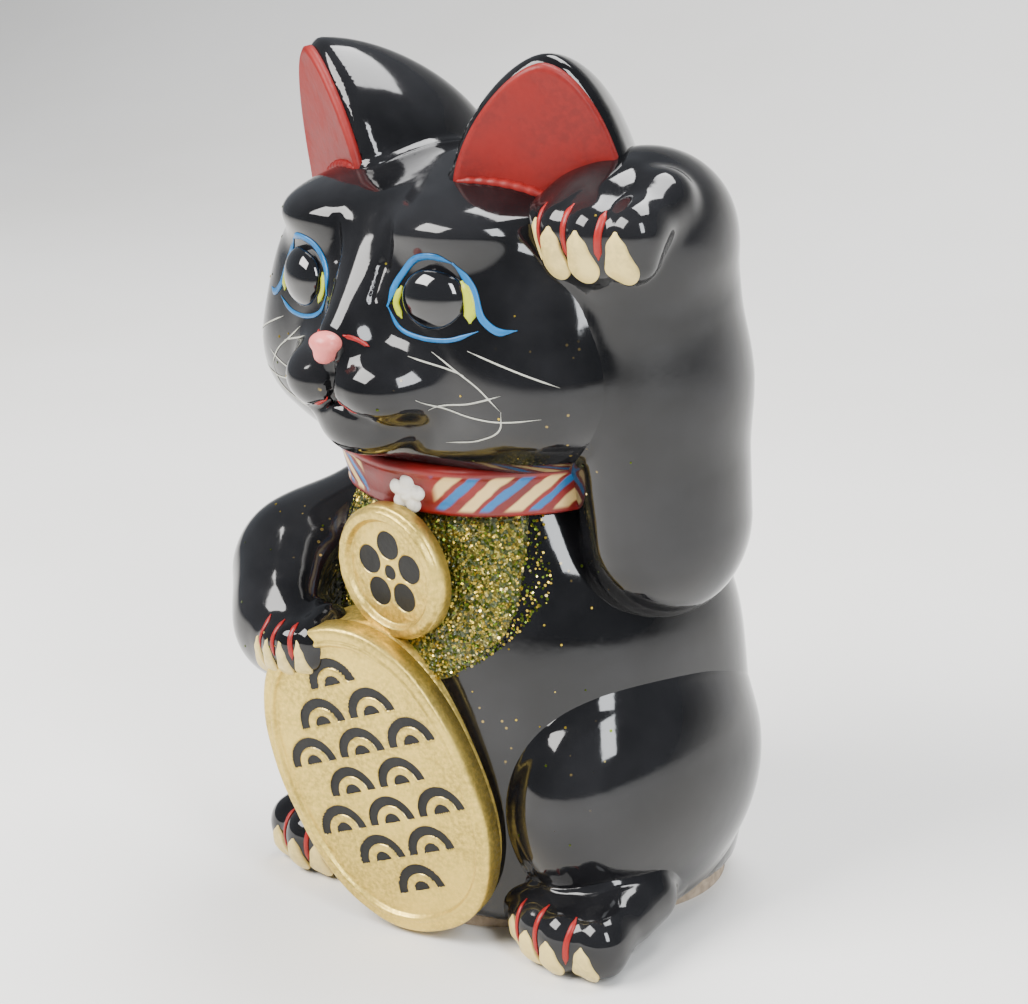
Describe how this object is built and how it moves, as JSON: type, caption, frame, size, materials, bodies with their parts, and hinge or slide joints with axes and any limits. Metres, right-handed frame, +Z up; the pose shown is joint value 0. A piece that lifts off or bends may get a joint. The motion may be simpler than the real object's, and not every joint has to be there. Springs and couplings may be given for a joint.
{
  "type": "beckoning cat figurine",
  "caption": "Seated beckoning cat figurine in glossy black glaze with one paw raised, a gold oval coin, round medallion, glitter bib, coin slot and base stopper.",
  "frame": {"origin": "on the surface it stands on, under the middle of its bounding box", "axes": "+Z up; the cat faces -Y; +X is the cat's left, the side of its raised paw"},
  "size_m": [0.182, 0.157, 0.2879],
  "materials": {
    "black_glaze": "deep gloss black glaze, softly uneven",
    "bare_clay": "unglazed fired clay, matte and fine-grained",
    "ear_red": "brick-red cold paint, satin",
    "collar_red": "red paint with brushed cream and blue strokes, glossy",
    "flower_white": "thick white relief paint, crackled",
    "glitter_coat": "olive and gold glitter flakes in clear lacquer, coarse and sparkling",
    "gold_paint": "pale gold paint, satin, worn darker in the hollows",
    "sunk_black": "black paint in the sunk pattern, semi-gloss",
    "nose_pink": "pink paint, matte",
    "eye_black": "bulging gloss black eye, blue and yellow-green painted rim",
    "claw_gold": "pale gold paint, satin",
    "soft_plug": "soft moulded plug, matte"
  },
  "bodies": {
    "root": {"torso_shell": "black_glaze", "base_plate": "bare_clay", "head_shell": "black_glaze", "left_ear": "black_glaze", "right_ear": "black_glaze", "left_ear_lining": "ear_red", "right_ear_lining": "ear_red", "raised_arm": "black_glaze", "lowered_arm": "black_glaze", "left_haunch": "black_glaze", "right_haunch": "black_glaze", "left_hind_foot": "black_glaze", "right_hind_foot": "black_glaze", "tail": "black_glaze", "collar_band": "collar_red", "collar_flower": "flower_white", "bib": "glitter_coat", "medallion": "gold_paint", "medallion_inlay": "sunk_black", "koban": "gold_paint", "koban_inlay": "sunk_black", "nose": "nose_pink", "left_eye": "eye_black", "right_eye": "eye_black", "raised_paw_claws": "claw_gold", "lowered_paw_claws": "claw_gold", "left_foot_claws": "claw_gold", "right_foot_claws": "claw_gold"},
    "stopper": {"stopper": "soft_plug"}
  },
  "joints": [
    {"name": "stopper_pull", "type": "slide", "parent": "root", "child": "stopper", "axis": [0, 0, -1], "range_m": [0, 0.02]}
  ]
}
